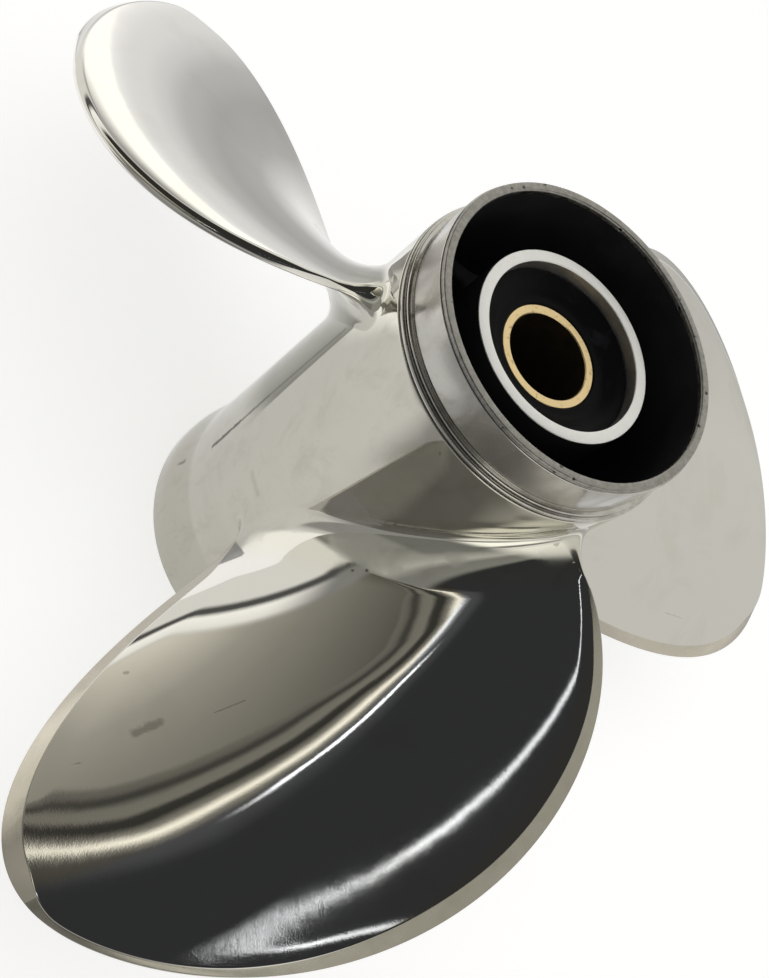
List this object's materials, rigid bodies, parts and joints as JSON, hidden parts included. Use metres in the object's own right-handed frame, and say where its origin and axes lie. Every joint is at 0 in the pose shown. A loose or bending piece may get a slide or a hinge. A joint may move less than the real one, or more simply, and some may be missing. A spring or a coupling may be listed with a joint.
{
  "type": "outboard motor propeller",
  "caption": "Polished steel boat propeller with a through-hub exhaust passage, a rubber-mounted splined brass sleeve and raked, fully rounded blades.",
  "frame": {"origin": "on the shaft axis, in the plane of the flat aft end of the hub", "axes": "+Z along the shaft axis towards the gearcase (front end), +X through the root of blade_1's leading edge"},
  "size_m": [0.2098, 0.2079, 0.1137],
  "materials": {
    "polished_steel": "cast stainless steel, hand polished to a mirror",
    "turned_steel": "stainless steel, turned, satin and mottled",
    "coated_steel": "stainless steel with matt black exhaust coating, front end machined bright",
    "rubber": "matt black moulded rubber",
    "brass": "machined, dull inside the bore"
  },
  "bodies": {
    "root": {"front_collar": "turned_steel", "hub_barrel": "polished_steel", "diffuser_ring": "polished_steel", "blade_1": "polished_steel", "blade_2": "polished_steel", "blade_3": "polished_steel", "inner_tube": "coated_steel", "rib_1": "coated_steel", "rib_2": "coated_steel", "rib_3": "coated_steel", "rubber_bush": "rubber", "spline_sleeve": "brass"}
  },
  "joints": []
}
